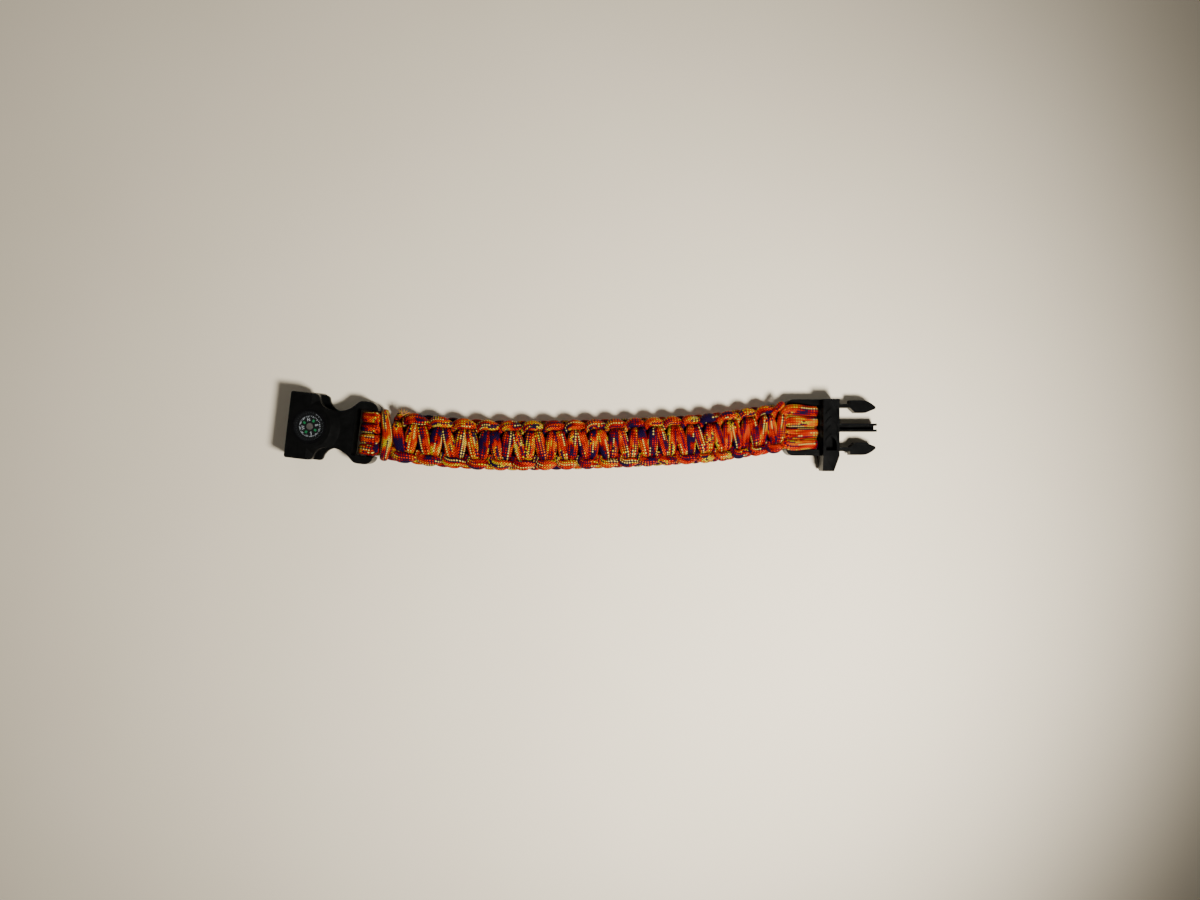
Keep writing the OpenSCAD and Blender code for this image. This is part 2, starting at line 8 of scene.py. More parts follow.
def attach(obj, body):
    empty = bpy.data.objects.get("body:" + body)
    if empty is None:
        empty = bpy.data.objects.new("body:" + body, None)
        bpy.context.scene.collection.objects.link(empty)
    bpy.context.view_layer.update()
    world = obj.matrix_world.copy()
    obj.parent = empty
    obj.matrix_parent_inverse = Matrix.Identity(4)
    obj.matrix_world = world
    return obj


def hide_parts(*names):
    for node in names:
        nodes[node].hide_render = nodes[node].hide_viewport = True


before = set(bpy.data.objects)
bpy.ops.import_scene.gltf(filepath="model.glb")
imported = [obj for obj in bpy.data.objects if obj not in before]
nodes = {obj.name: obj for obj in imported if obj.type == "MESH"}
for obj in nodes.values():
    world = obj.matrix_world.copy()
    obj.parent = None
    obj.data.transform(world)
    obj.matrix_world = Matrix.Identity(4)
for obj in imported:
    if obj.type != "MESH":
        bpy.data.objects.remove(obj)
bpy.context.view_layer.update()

MM = 0.001

# Camera: straight down on the table, a little right of and below the bracelet's middle
cam = bpy.data.cameras.new("photo_camera")
cam.lens = 27
cam.sensor_width = 36
cam.clip_start = 0.01
cam_object = bpy.data.objects.new("photo_camera", cam)
cam_object.location = (7.1 * MM, -7.5 * MM, 365 * MM)
bpy.context.scene.collection.objects.link(cam_object)
bpy.context.scene.camera = cam_object


# Colours and shader helpers

def srgb(*colour):
    """Linear colour of an sRGB one given in 0 to 255"""
    shares = [c / 255 for c in colour]
    return (*[c / 12.92 if c <= 0.04045 else ((c + 0.055) / 1.055) ** 2.4 for c in shares], 1.0)


def grey(v):
    return (v, v, v, 1.0)


def scaled(colour, factor):
    return (*[c * factor for c in colour[:3]], 1.0)


class Nodes:
    """Shorthand for one material's node tree"""

    def __init__(self, name):
        self.material = bpy.data.materials.new(name)
        self.material.use_nodes = True
        self.tree = self.material.node_tree
        self.bsdf = self.tree.nodes["Principled BSDF"]

    def add(self, kind, inputs=None, **settings):
        node = self.tree.nodes.new(kind)
        for key, value in settings.items():
            setattr(node, key, value)
        for key, value in (inputs or {}).items():
            if isinstance(value, bpy.types.NodeSocket):
                self.tree.links.new(value, node.inputs[key])
            else:
                node.inputs[key].default_value = value
        return node

    def math(self, operation, a, b=0.0, c=0.0):
        return self.add("ShaderNodeMath", {0: a, 1: b, 2: c}, operation=operation).outputs[0]

    def noise(self, scale, detail, roughness=0.5):
        """Noise that stays with the piece when it moves"""
        where = self.add("ShaderNodeTexCoord").outputs["Object"]
        return self.add("ShaderNodeTexNoise", {"Vector": where, "Scale": scale, "Detail": detail,
                                               "Roughness": roughness}).outputs[0]

    def ramp(self, factor, stops):
        node = self.add("ShaderNodeValToRGB", {0: factor})
        elements = node.color_ramp.elements
        while len(elements) > 1:
            elements.remove(elements[-1])
        elements[0].position, elements[0].color = stops[0]
        for place, colour in stops[1:]:
            elements.new(place).color = colour
        return node.outputs[0]

    def mix(self, factor, a, b, blend="MIX"):
        node = self.add("ShaderNodeMix", {0: factor, 6: a, 7: b}, data_type="RGBA", blend_type=blend)
        return node.outputs[2]

    def link(self, value, socket):
        self.tree.links.new(value, self.bsdf.inputs[socket])

    def set(self, socket, value):
        self.bsdf.inputs[socket].default_value = value

    def bump(self, height, distance):
        node = self.add("ShaderNodeBump", {"Height": height, "Distance": distance, "Strength": 1.0})
        self.link(node.outputs[0], "Normal")


# Materials

NAVY = (0.011, 0.002, 0.044, 1.0)
PURPLE = (0.040, 0.003, 0.030, 1.0)
DARK_RED = (0.120, 0.001, 0.001, 1.0)
RED = (0.340, 0.002, 0.000, 1.0)
RED_ORANGE = (0.620, 0.013, 0.000, 1.0)
ORANGE = (0.760, 0.052, 0.000, 1.0)
AMBER = (0.740, 0.170, 0.001, 1.0)
YELLOW = (0.640, 0.480, 0.006, 1.0)
CREAM = (0.780, 0.580, 0.110, 1.0)
# The cord's dyes, by the value that its noises add up to
DYES = [
    (0.0, NAVY), (0.14, NAVY), (0.18, PURPLE), (0.22, DARK_RED), (0.32, RED), (0.47, RED_ORANGE),
    (0.64, ORANGE), (0.78, AMBER), (0.82, YELLOW), (0.96, YELLOW), (1.0, NAVY)]
MEAN_DYE = 0.55
# How far down the dyes' scale every other column of picks lies
LOW_COLUMN_DROP = 0.24
# Noise above which a stretch of cord has dotted lines, and how much these cover the dye
TRACER_FROM, TRACER_COVER = 0.60, 0.9
# Picks round the cord, and the height of one in millimetres
PICKS_ROUND = 24
PICK_H = 0.16


def paracord_material():
    """Braided nylon sheath: columns of picks along the cord, dyed in short patches and dotted lines,
    with painted shade in the gaps between picks
    """
    m = Nodes("paracord")
    uv = m.add("ShaderNodeUVMap", uv_map="picks")
    xyz = m.add("ShaderNodeSeparateXYZ", {0: uv.outputs[0]})
    along, around = xyz.outputs[0], xyz.outputs[1]
    half_sum = m.math("MULTIPLY", m.math("ADD", around, along), 0.5)
    half_gap = m.math("MULTIPLY", m.math("SUBTRACT", around, along), 0.5)
    one, two = m.math("ROUND", half_sum), m.math("ROUND", half_gap)
    column = m.math("FLOORED_MODULO", m.math("ADD", one, two), PICKS_ROUND)
    pick_row = m.math("SUBTRACT", one, two)
    pick = m.add("ShaderNodeCombineXYZ", {0: column, 1: pick_row})
    pick_noise = m.add("ShaderNodeTexWhiteNoise", {0: pick.outputs[0]}, noise_dimensions="3D").outputs[0]

    def cloud(stretch, radius, offset):
        """Noise along and round the cord, without a seam where it closes round"""
        turn = m.math("MULTIPLY", column, 2 * math.pi / PICKS_ROUND)
        place = m.add("ShaderNodeCombineXYZ", {
            0: m.math("MULTIPLY_ADD", pick_row, stretch, offset),
            1: m.math("MULTIPLY", m.math("COSINE", turn), radius),
            2: m.math("MULTIPLY", m.math("SINE", turn), radius)})
        return m.add("ShaderNodeTexNoise", {"Vector": place.outputs[0], "Scale": 1.0, "Detail": 1.0,
                                            "Roughness": 0.45}).outputs[0]

    def spread(noise, amount):
        return m.math("MULTIPLY", m.math("SUBTRACT", noise, 0.5), amount)

    patches = spread(cloud(0.062, 0.55, 0.0), 2.3)
    streaks = spread(cloud(0.050, 4.0, 31.0), 1.4)
    value = m.math("ADD", m.math("ADD", patches, MEAN_DYE),
                   m.math("ADD", streaks, spread(pick_noise, 0.12)))
    low_column = m.math("FLOORED_MODULO", column, 2.0)
    value = m.math("SUBTRACT", value, m.math("MULTIPLY", low_column, LOW_COLUMN_DROP))
    colour = m.ramp(value, DYES)
    # Dotted lines: stretches of light picks, with dark columns beside them
    tracer = m.math("GREATER_THAN", cloud(0.035, 5.0, 77.0), TRACER_FROM)
    dots = m.mix(low_column, CREAM, NAVY)
    colour = m.mix(m.math("MULTIPLY", tracer, TRACER_COVER), colour, dots)
    # Painted shade: the gaps between the picks are darkened in the base colour, while the crowns keep
    # the full dye
    across_one = m.math("ABSOLUTE", m.math("SUBTRACT", half_sum, one))
    across_two = m.math("ABSOLUTE", m.math("SUBTRACT", half_gap, two))
    crown = m.math("SUBTRACT", 1.0, m.math("MULTIPLY", m.math("MAXIMUM", across_one, across_two), 2.0))
    painted_gap_shade = m.ramp(crown, [(0.0, grey(0.01)), (0.25, grey(0.30)), (0.6, grey(1.0))])
    m.link(m.mix(1.0, colour, painted_gap_shade, "MULTIPLY"), "Base Color")
    fibres = m.add("ShaderNodeTexNoise", {"Vector": uv.outputs[0], "Scale": 5.0,
                                          "Detail": 3.0}).outputs[0]
    rise = m.math("SQRT", m.math("MAXIMUM", crown, 0.0))
    m.bump(m.math("ADD", rise, m.math("MULTIPLY", fibres, 0.25)), PICK_H * MM)
    m.link(m.ramp(fibres, [(0.3, grey(0.38)), (0.7, grey(0.55))]), "Roughness")
    m.set("Specular IOR Level", 0.04)
    return m.material


def plastic_material(name, colour, rough, grain, gloss=0.3):
    """Moulded plastic: fine moulded grain, faint smears and rubbed places"""
    m = Nodes(name)
    smears = m.noise(240.0, 5.0, 0.6)
    m.link(m.ramp(smears, [(0.3, grey(rough - 0.04)), (0.7, grey(rough + 0.06))]), "Roughness")
    m.link(m.ramp(smears, [(0.35, colour), (0.8, scaled(colour, 1.9))]), "Base Color")
    m.bump(m.noise(5200.0, 2.0), grain * MM)
    m.set("Specular IOR Level", gloss)
    return m.material


def print_material(name, colour):
    """Printed or moulded-in mark, a little uneven"""
    m = Nodes(name)
    m.link(m.ramp(m.noise(2600.0, 3.0), [(0.3, scaled(colour, 0.55)), (0.6, colour)]), "Base Color")
    m.set("Roughness", 0.45)
    return m.material


def lens_material():
    """Clear moulded lens with faint hairlines"""
    m = Nodes("clear_lens")
    m.link(m.ramp(m.noise(900.0, 6.0), [(0.4, grey(0.03)), (0.8, grey(0.10))]), "Roughness")
    m.set("Base Color", (0.02, 0.022, 0.024, 1.0))
    m.set("Alpha", 0.16)
    m.set("IOR", 1.49)
    return m.material


def thread_material(name, light, dark):
    """Loose nylon filaments"""
    m = Nodes(name)
    m.link(m.ramp(m.noise(1500.0, 3.0), [(0.35, dark), (0.65, light)]), "Base Color")
    m.set("Roughness", 0.5)
    return m.material


def floor_material():
    """Plain pale table top, a little uneven in tone"""
    m = Nodes("floor")
    tones = [(0.3, (0.890, 0.800, 0.630, 1)), (0.7, (0.920, 0.832, 0.660, 1))]
    m.link(m.ramp(m.noise(12.0, 3.0), tones), "Base Color")
    m.set("Roughness", 0.75)
    m.set("Specular IOR Level", 0.25)
    return m.material


paracord = paracord_material()
# The buckle's gloss is far below that of real plastic, to keep the pale floor out of its walls
buckle_black = plastic_material("buckle_black", (0.0030, 0.0031, 0.0031, 1.0), 0.24, 0.002, 0.03)
capsule_black = plastic_material("capsule_black", (0.0020, 0.0020, 0.0023, 1.0), 0.24, 0.002, 0.18)
card_black = plastic_material("card_black", (0.0015, 0.002, 0.0022, 1.0), 0.40, 0.002, 0.2)
mark_white = print_material("mark_white", srgb(214, 224, 232))
mark_dim = print_material("mark_dim", srgb(62, 64, 68))
mark_green = print_material("mark_green", srgb(24, 150, 84))
pin_grey = plastic_material("pivot_grey", (0.10, 0.095, 0.085, 1.0), 0.3, 0.004)
lens_clear = lens_material()


# Band: its curve on the table and its sizes, as in the model's source, in millimetres

BAND_L = 167.5
# Headings in degrees, and how far the weave leans over, at shares of the band's length
BEND = [
    (0.00, -6.8), (0.12, -6.8), (0.36, 0.3), (0.50, 1.8), (0.75, 3.4), (0.86, 9.0), (0.95, 8.0),
    (1.00, 0.0)]
LEAN = [
    (0.00, 0), (0.08, -7), (0.20, -6), (0.32, -2.5), (0.62, -2), (0.75, -4.5), (0.81, -2),
    (0.87, 6), (0.94, 6), (1.00, 0)]
SHARES, HEADINGS = zip(*BEND)
LEAN_SHARES, LEAN_DEGREES = zip(*LEAN)
WEAVE_W, WEAVE_T = 19.2, 11.0
MID_Z = WEAVE_T / 2
PITCH_START, PITCH_MIDDLE, PITCH_END = 5.1, 3.95, 3.5
CORD_W, CORD_T, CORD_GAP = 3.8, 2.5, 0.1
CORE_LOOPS, CORE_W, CORE_T, CORE_SLACK_L = 4, 4.2, 2.9, 5
BAR_H, SOCKET_BAR_W, PLUG_BAR_W = 2.8, 2.8, 5.2
SOCKET_W, SOCKET_BAR_X = 26.3, 32.8
PLUG_W, MOUTHPIECE_L, GUIDE_END_X = 22.4, 6.1, 33.9

# The curve closely sampled, and carried on past both bars
CURVE_STEP, CURVE_BEYOND = 0.05, 60.0
curve_s = np.arange(-CURVE_BEYOND, BAND_L + CURVE_BEYOND, CURVE_STEP)
curve_h = np.radians(np.interp(curve_s / BAND_L, SHARES, HEADINGS))
step_h = (curve_h[1:] + curve_h[:-1]) / 2
curve_x = np.concatenate([[0], np.cumsum(np.cos(step_h) * CURVE_STEP)])
curve_y = np.concatenate([[0], np.cumsum(np.sin(step_h) * CURVE_STEP)])
curve_x -= np.interp(0, curve_s, curve_x)
curve_y -= np.interp(0, curve_s, curve_y)

# The part's origin is midway between the socket half's outer corner and the plug half's ends
SOCKET_HEADING = math.radians(HEADINGS[0])
CORNER = (-SOCKET_BAR_X * math.cos(SOCKET_HEADING) + SOCKET_W / 2 * math.sin(SOCKET_HEADING),
          -SOCKET_BAR_X * math.sin(SOCKET_HEADING) + SOCKET_W / 2 * math.cos(SOCKET_HEADING))
END = (float(np.interp(BAND_L, curve_s, curve_x)), float(np.interp(BAND_L, curve_s, curve_y)))
ORIGIN = ((CORNER[0] + END[0] + GUIDE_END_X) / 2, (CORNER[1] + END[1] - PLUG_W / 2 - MOUTHPIECE_L) / 2)


def lay(p):
    """World points in metres of points given along, across and above the band's middle"""
    lean = np.radians(np.interp(p[:, 0] / BAND_L, LEAN_SHARES, LEAN_DEGREES))
    s = p[:, 0] + p[:, 1] * np.tan(lean)
    x, y = np.interp(s, curve_s, curve_x), np.interp(s, curve_s, curve_y)
    h = np.interp(s, curve_s, curve_h)
    return np.stack([x - p[:, 1] * np.sin(h) - ORIGIN[0], y + p[:, 1] * np.cos(h) - ORIGIN[1],
                     p[:, 2] + MID_Z], 1) * MM


def socket_matrix(x, y, z):
    """Place in the socket half's own frame: x from its mouth, y across, z up"""
    turn = Matrix.Rotation(SOCKET_HEADING, 4, "Z")
    return (Matrix.Translation(Vector((-ORIGIN[0] * MM, -ORIGIN[1] * MM, 0))) @ turn
            @ Matrix.Translation(Vector(((x - SOCKET_BAR_X) * MM, y * MM, z * MM))))


# Meshes and pieces

def build_mesh(name, verts, faces, smooth=True):
    mesh = bpy.data.meshes.new(name)
    mesh.from_pydata(verts, [], faces)
    mesh.polygons.foreach_set("use_smooth", [smooth] * len(mesh.polygons))
    mesh.update()
    return mesh


def add_piece(name, mesh, material, body="bracelet", replaces=()):
    piece = bpy.data.objects.new(name, mesh)
    bpy.context.scene.collection.objects.link(piece)
    mesh.materials.append(material)
    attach(piece, body)
    if replaces:
        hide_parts(*replaces)
    return piece


# Places of the half-knots along the band

FIRST_ARM_S = 10.8
LAST_ARM_ROOM = 2.5
WRAP_PITCH = 4.2
SPAN = BAND_L - PLUG_BAR_W / 2 - LAST_ARM_ROOM - FIRST_ARM_S
MEAN_PITCH = (PITCH_START + 4 * PITCH_MIDDLE + PITCH_END) / 6
ARMS = round(SPAN / MEAN_PITCH)
FIT = SPAN / (ARMS * MEAN_PITCH)


def arm_s(k):
    """Place of half-knot k: the spacing runs smoothly through its three named values"""
    if k < 0:
        return FIRST_ARM_S + k * WRAP_PITCH
    t = k / ARMS
    return FIRST_ARM_S + FIT * ARMS * (
        PITCH_START * (t - 3 / 2 * t ** 2 + 2 / 3 * t ** 3)
        + PITCH_MIDDLE * (2 * t ** 2 - 4 / 3 * t ** 3)
        + PITCH_END * (2 / 3 * t ** 3 - t ** 2 / 2))


# Rows of place along, across and up, then width and thickness. They lie close to those of the
# model's source, but the cord is up to about half as wide again and presses into its neighbours
HALF_KNOT = [
    (0.00, 0.00, 0.74, 1.40, 0.95), (-0.16, 0.40, 0.73, 1.26, 1.00), (-0.24, 0.50, 0.33, 0.98, 1.00),
    (-0.44, 0.49, -0.26, 0.86, 0.94), (-0.40, 0.70, -0.44, 1.05, 1.00), (0.05, 0.82, -0.54, 1.30, 1.14),
    (0.70, 0.81, -0.50, 1.30, 1.14), (1.10, 0.75, -0.20, 1.05, 1.08), (1.20, 0.55, 0.34, 0.88, 0.98),
    (1.16, 0.39, 0.74, 1.26, 1.00)]
# Its rows from the middle of the arm to the edge, from the far side of the edge to the next
# arm, and the last two of these
TO_EDGE, FROM_EDGE, LAST_RISE = HALF_KNOT[:4], HALF_KNOT[5:], HALF_KNOT[8:]
FRONT_START = [
    (0.40, 0.50, -0.74, 0.80, 0.80), (0.38, 0.86, -0.44, 0.85, 0.90), (0.42, 0.96, 0.05, 0.95, 0.95),
    (0.55, 0.80, 0.55, 1.00, 0.95), (0.80, 0.45, 0.74, 1.22, 1.00)]
FIRST_TURN = [
    (0.00, 0.00, 0.76, 1.28, 1.00), (-0.08, 0.45, 0.74, 1.22, 1.00), (-0.25, 0.80, 0.52, 1.00, 1.00),
    (-0.42, 0.95, 0.05, 0.90, 0.95), (-0.42, 0.86, -0.44, 0.90, 0.93)]
BACK_START = [
    (1.25, 0.94, -0.50, 0.70, 0.80), (1.08, 0.94, -0.30, 0.90, 0.90), (0.95, 0.86, 0.00, 0.90, 0.95)]
BACK_END = [
    (-0.60, 0.74, -0.42, 0.95, 0.90), (-0.25, 0.82, -0.60, 1.00, 0.90), (0.05, 0.94, -0.67, 1.00, 0.85),
    (0.40, 1.06, -0.69, 0.85, 0.80)]
# Power of the spacing by which the cord narrows where the half-knots lie closer
NARROWING = 0.7
# Power of the band's rounded section, which gives the direction out of it
ROUNDNESS = 2.2


def knot_rings(table, k, face):
    """Rings (place, width, thickness, direction out of the band) of a table's rows"""
    rings = []
    side = (1 if k % 2 == 0 else -1) * face
    narrow = min(1.0, (arm_s(k + 0.5) - arm_s(k - 0.5)) / PITCH_START) ** NARROWING
    for along, across, up, width, thick in table:
        p = (arm_s(k + along), side * across * WEAVE_W / 2, face * up * MID_Z)
        out = np.array([0, p[1] / WEAVE_W ** ROUNDNESS, p[2] / WEAVE_T ** ROUNDNESS])
        rings.append([*p, width * CORD_W * narrow, thick * CORD_T, *(out / np.linalg.norm(out))])
    return rings


def knots(face):
    """Rings of all the whole half-knots of the strand that crosses this face"""
    return [ring for k in range(ARMS) for ring in knot_rings(HALF_KNOT, k, face)]


# Cords

SPLINE_STEPS = 14


def spline(rings, closed, step):
    """Smooth path through the rings, resampled evenly: rows of place, width, thickness, direction"""
    r = np.array(rings, float)
    n = len(r)
    if closed:
        r = np.vstack([r[-2:], r, r[:3]])
    gap = np.sqrt(np.linalg.norm(np.diff(r[:, :3], axis=0), axis=1))
    slope = np.diff(r, axis=0) / gap[:, None]
    m = np.empty_like(r)
    m[1:-1] = (slope[:-1] * gap[1:, None] + slope[1:] * gap[:-1, None]) / (gap[1:] + gap[:-1])[:, None]
    m[0], m[-1] = slope[0], slope[-1]
    first, last = (2, n + 2) if closed else (0, n - 1)
    u = np.linspace(0, 1, SPLINE_STEPS, endpoint=False)[:, None]
    out = []
    for i in range(first, last):
        d = gap[i]
        out.append((2 * u ** 3 - 3 * u ** 2 + 1) * r[i] + (u ** 3 - 2 * u ** 2 + u) * d * m[i]
                   + (-2 * u ** 3 + 3 * u ** 2) * r[i + 1] + (u ** 3 - u ** 2) * d * m[i + 1])
    out.append(r[last][None])
    out = np.vstack(out)
    length = np.concatenate([[0], np.cumsum(np.linalg.norm(np.diff(out[:, :3], axis=0), axis=1))])
    count = max(4, int(round(length[-1] / step)))
    count += count % 2
    where = np.linspace(0, length[-1], count + 1)
    if closed:
        where = where[:-1]
    return np.stack([np.interp(where, length, out[:, c]) for c in range(out.shape[1])], 1)


# Power of the cord's flattened section, and its thickness as a share of its width
SECTION_POWER, SECTION_FLATNESS = 2.25, 0.7
SECTION_SAMPLES = 2001
# Length over which a cut end rounds off, in millimetres, and how far it closes
TIP_L, TIP_CLOSING = 1.1, 0.98
# Picks along the cord for each ring of its mesh
PICKS_A_RING = 0.9
# Lengths between the rings of the working and core cords' meshes, in millimetres
WORKING_STEP, CORE_STEP = 0.36, 0.42
# Picks between the places in the dyed cord that the pieces are cut from
BACK_FIRST_PICK, CORE_FIRST_PICK = 6000, 1400


def squared(wave):
    """Sine or cosine bent towards the cord's squarer section"""
    return np.sign(wave) * np.abs(wave) ** (2 / SECTION_POWER)


def even_angles(count):
    """Angles that space points evenly round the flattened section"""
    a = np.linspace(0, 2 * np.pi, SECTION_SAMPLES)
    x, y = squared(np.cos(a)), squared(np.sin(a)) * SECTION_FLATNESS
    length = np.concatenate([[0], np.cumsum(np.hypot(np.diff(x), np.diff(y)))])
    return np.interp(np.arange(count) / count * length[-1], length, a)


ANGLES = even_angles(PICKS_ROUND)


def cord_points(path, closed):
    """Points of the braided tube's surface along an evenly sampled path"""
    place, width, thick, out = path[:, :3], path[:, 3:4], path[:, 4:5], path[:, 5:8]
    if closed:
        tangent = np.roll(place, -1, 0) - np.roll(place, 1, 0)
    else:
        tangent = np.gradient(place, axis=0)
    tangent /= np.linalg.norm(tangent, axis=1, keepdims=True)
    out = out - (out * tangent).sum(1, keepdims=True) * tangent
    out /= np.linalg.norm(out, axis=1, keepdims=True)
    across = np.cross(tangent, out)
    size = np.ones((len(path), 1))
    if not closed:
        run = np.concatenate([[0], np.cumsum(np.linalg.norm(np.diff(place, axis=0), axis=1))])
        tip = np.minimum(run, run[-1] - run)[:, None]
        size = np.sqrt(1 - np.clip(1 - tip / TIP_L, 0, TIP_CLOSING) ** 2)
    w = size * width / 2 * squared(np.cos(ANGLES))
    t = size * thick / 2 * squared(np.sin(ANGLES))
    pts = place[:, None] + across[:, None] * w[..., None] + out[:, None] * t[..., None]
    return lay(pts.reshape(-1, 3)).reshape(pts.shape)


def grid_mesh(name, points, closed, first_pick):
    """Mesh of a tube from rings of points, with its picks' places as UV"""
    rings, sides = points.shape[:2]
    i = np.arange(rings if closed else rings - 1)[:, None]
    j = np.arange(sides)[None, :]
    ring, next_ring, next_j = i * sides, (i + 1) % rings * sides, (j + 1) % sides
    quads = np.stack([ring + j, ring + next_j, next_ring + next_j, next_ring + j], 2).reshape(-1, 4)
    u = np.broadcast_to(i, (len(i), sides)).reshape(-1) * PICKS_A_RING + first_pick
    v = np.broadcast_to(j, (len(i), sides)).reshape(-1)
    u_next = u + PICKS_A_RING
    corners = [np.stack(corner, 1) for corner in ((u, v), (u, v + 1), (u_next, v + 1), (u_next, v))]
    uvs = np.stack(corners, 1).reshape(-1, 2)
    faces = [tuple(q) for q in quads.tolist()]
    if not closed:
        faces.append(tuple(range(sides - 1, -1, -1)))
        faces.append(tuple((rings - 1) * sides + c for c in range(sides)))
        uvs = np.vstack([uvs, np.zeros((2 * sides, 2))])
    mesh = build_mesh(name, points.reshape(-1, 3).tolist(), faces)
    layer = mesh.uv_layers.new(name="picks")
    layer.data.foreach_set("uv", uvs.astype(np.float32).reshape(-1))
    return mesh


def cord_piece(name, rings, replaces, closed=False, step=WORKING_STEP, first_pick=0):
    """Cord along the rings; its first pick tells where in the dyed cord it was cut from"""
    points = cord_points(spline(rings, closed, step), closed)
    mesh = grid_mesh(name, points, closed, first_pick)
    return add_piece(name, mesh, paracord, replaces=replaces)


front_rings = (knot_rings(FRONT_START, -2, 1) + knot_rings(FIRST_TURN, -1, 1)
               + knot_rings(FROM_EDGE, -1, 1) + knots(1) + knot_rings(TO_EDGE, ARMS, 1))
back_rings = (knot_rings(BACK_START, -1, -1) + knot_rings(LAST_RISE, -1, -1) + knots(-1)
              + knot_rings(TO_EDGE, ARMS, -1) + knot_rings(BACK_END, ARMS, -1))
cord_piece("working_cord_front", front_rings, ["weave_cord_front"])
cord_piece("working_cord_back", back_rings, ["weave_cord_back"], first_pick=BACK_FIRST_PICK)


# Frayed threads at the cord's cut tip, in the band's own places

THREAD_R, THREAD_SIDES, THREAD_RINGS = 0.14, 7, 9
FRAY_ROOT = np.array([12.3, 8.6, 2.7])
FRAY_BOW = np.array([0.25, 0.1, 0.5])
LIGHT_TIPS = [
    (10.2, 10.6, 2.4), (11.7, 11.3, 3.0), (12.9, 11.4, 2.0), (14.2, 10.9, 2.8), (15.2, 10.2, 2.2)]
DARK_TIPS = [
    (10.9, 11.1, 2.2), (12.3, 11.6, 2.6), (13.6, 11.2, 2.3), (9.9, 10.1, 3.0), (14.8, 10.6, 2.6)]


def frayed_piece(name, tips, material):
    """Thin threads that fan out of a cut tip: from the root to each tip, bowed upwards"""
    verts, faces = [], []
    angles = np.arange(THREAD_SIDES) * 2 * np.pi / THREAD_SIDES
    for n, tip in enumerate(tips):
        scatter = np.array([math.cos(2.4 * n), 0.5 * math.sin(2.4 * n), 0.4 * math.sin(1.7 * n)])
        root = FRAY_ROOT + 0.5 * scatter
        t = np.linspace(0, 1, THREAD_RINGS)[:, None]
        path = root + (np.array(tip) - root) * t + FRAY_BOW * np.sin(np.pi * t)
        along = np.gradient(path, axis=0)
        along /= np.linalg.norm(along, axis=1, keepdims=True)
        side = np.cross(along, [0, 0, 1.0])
        side /= np.linalg.norm(side, axis=1, keepdims=True)
        up = np.cross(side, along)
        thin = THREAD_R * (1 - 0.5 * t)
        rings = [path + thin * (side * math.cos(a) + up * math.sin(a)) for a in angles]
        start = len(verts)
        verts += lay(np.stack(rings, 1).reshape(-1, 3)).tolist()
        for i in range(THREAD_RINGS - 1):
            ring = start + i * THREAD_SIDES
            for j in range(THREAD_SIDES):
                a, b = ring + j, ring + (j + 1) % THREAD_SIDES
                faces.append((a, a + THREAD_SIDES, b + THREAD_SIDES, b))
        last = start + (THREAD_RINGS - 1) * THREAD_SIDES
        faces.append(tuple(start + j for j in range(THREAD_SIDES)))
        faces.append(tuple(last + j for j in reversed(range(THREAD_SIDES))))
    return add_piece(name, build_mesh(name, verts, faces), material)


frayed_piece("frayed_threads_light", LIGHT_TIPS, thread_material("thread_light", YELLOW, AMBER))
frayed_piece("frayed_threads_dark", DARK_TIPS, thread_material("thread_dark", PURPLE, NAVY))


# Core cord: loops round both bars, squeezed by the weave in between

BAR_GAP = 0.2
BAR_REACH = 0.5
SOCKET_BEND_R, PLUG_BEND_R = 3.0, 2.3
BEND_STEPS, RUN_RINGS = 6, 9
RUN_Z = BAR_H / 2 + CORE_T / 2 + BAR_GAP
# Height of the working cord's arms as a share of the band's half, and the core's share of its width
ARM_UP, CORE_SHARE = 0.73, 0.33
TIGHT_T = ARM_UP * MID_Z - CORD_T / 2 - 2 * CORD_GAP
TIGHT_W = CORE_SHARE * WEAVE_W / CORE_LOOPS - CORD_GAP
TIGHT_Z = (TIGHT_T + CORD_GAP) / 2
TIGHT_START = arm_s(-1) - 0.8 * WRAP_PITCH
TIGHT_END = arm_s(ARMS) + LAST_ARM_ROOM / 2
SOCKET_BEND_S = BAR_REACH - SOCKET_BAR_W / 2
PLUG_BEND_S = BAND_L + PLUG_BAR_W / 2 + CORE_SLACK_L - PLUG_BEND_R + CORE_T / 2


def core_ring(i, s, z, full, up):
    w, t = (CORE_W, CORE_T) if full else (TIGHT_W, TIGHT_T)
    up = np.array(up, float) / np.linalg.norm(up)
    return [s, (i - (CORE_LOOPS + 1) / 2) * (w + CORD_GAP), z, w, t, *up]


def core_bend(i, s, r, first):
    """Half turn round a bar, or the slack loop beyond it"""
    angles = [math.radians(first + 180 * n / BEND_STEPS) for n in range(BEND_STEPS + 1)]
    return [core_ring(i, s + r * math.cos(a), RUN_Z * math.sin(a), True,
                      [math.cos(a) * RUN_Z, 0, math.sin(a) * r]) for a in angles]


def core_run(i, face):
    """Run from bar to bar on one face, tight where the weave holds it"""
    up = [0, 0, face]
    shares = [n / (RUN_RINGS - 1) for n in range(RUN_RINGS)]
    return [core_ring(i, SOCKET_BAR_W / 2, face * RUN_Z, True, up),
            *[core_ring(i, TIGHT_START + (TIGHT_END - TIGHT_START) * share, face * TIGHT_Z, False, up)
              for share in shares],
            core_ring(i, BAND_L - PLUG_BAR_W / 2, face * RUN_Z, True, up)]


for i in range(1, CORE_LOOPS + 1):
    rings = (core_run(i, 1) + core_bend(i, PLUG_BEND_S, PLUG_BEND_R, -90)[::-1]
             + core_run(i, -1)[::-1] + core_bend(i, SOCKET_BEND_S, SOCKET_BEND_R, 90)[::-1])
    cord_piece(f"core_loop_{i}", rings, [f"core_cord_{i}"], closed=True, step=CORE_STEP,
               first_pick=CORE_FIRST_PICK * i)


# Buckle and compass: the source's solids, with moulded edges and plastic

WELD_L = 0.002
BEVEL_SEGMENTS, BEVEL_FROM_DEGREES = 3, 28


